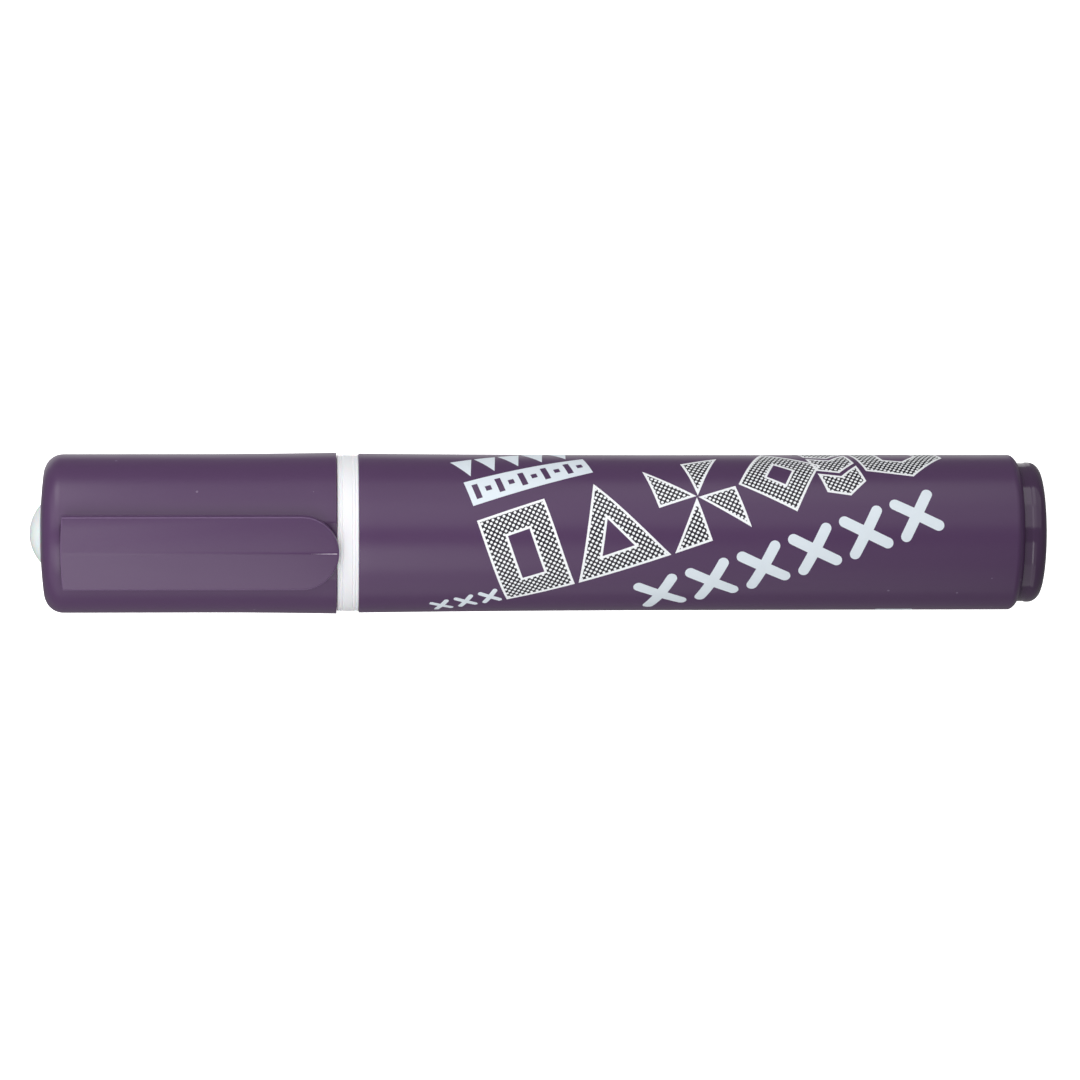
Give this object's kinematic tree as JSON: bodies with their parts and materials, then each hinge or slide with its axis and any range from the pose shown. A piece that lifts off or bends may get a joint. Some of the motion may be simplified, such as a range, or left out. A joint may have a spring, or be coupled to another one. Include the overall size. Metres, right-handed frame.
{
  "type": "fabric marking pen",
  "caption": "Broad bullet-point fabric marking pen with a round barrel, a pull-off cap with a pocket clip and a sealing liner, and a plugged tail.",
  "frame": {"origin": "on the pen's axis, in the middle of the barrel's straight stretch, where a holder grips it", "axes": "+X along the axis from the cap to the tail, +Z out through the middle of the pocket clip, +Y across the clip"},
  "size_m": [0.1264, 0.02, 0.0209],
  "materials": {
    "purple_plastic": "satin moulded polypropylene",
    "purple_plug_plastic": "polished moulded polypropylene",
    "white_plastic": "smooth moulded polypropylene",
    "liner_plastic": "smooth moulded polyethylene, slightly translucent",
    "nib_fibre": "bonded polyester fibre, soaked with ink",
    "reservoir_fibre": "polyester fibre bundle, soaked with ink",
    "wrap_film": "thin clear film"
  },
  "bodies": {
    "barrel": {"barrel": "purple_plastic", "tail_plug": "purple_plug_plastic", "nib_holder": "white_plastic", "nib": "nib_fibre", "ink_reservoir": "reservoir_fibre", "reservoir_wrap": "wrap_film"},
    "cap_liner": {"inner_cap": "liner_plastic"},
    "cap": {"cap_shell": "purple_plastic"},
    "clip": {"clip": "purple_plastic"}
  },
  "joints": [
    {"name": "cap_pull", "type": "slide", "parent": "barrel", "child": "cap_liner", "axis": [-1, 0, 0], "range_m": [0, 0.045]},
    {"name": "cap_twist", "type": "hinge", "parent": "cap_liner", "child": "cap", "pos_m": [-0.082, 0, 0], "axis": [1, 0, 0], "continuous": true},
    {"name": "clip_flex", "type": "hinge", "parent": "cap", "child": "clip", "pos_m": [-0.09737, 0, 0.00938], "axis": [0, -1, 0], "range_deg": [0, 3], "stiffness_Nm_per_rad": 0.5}
  ]
}
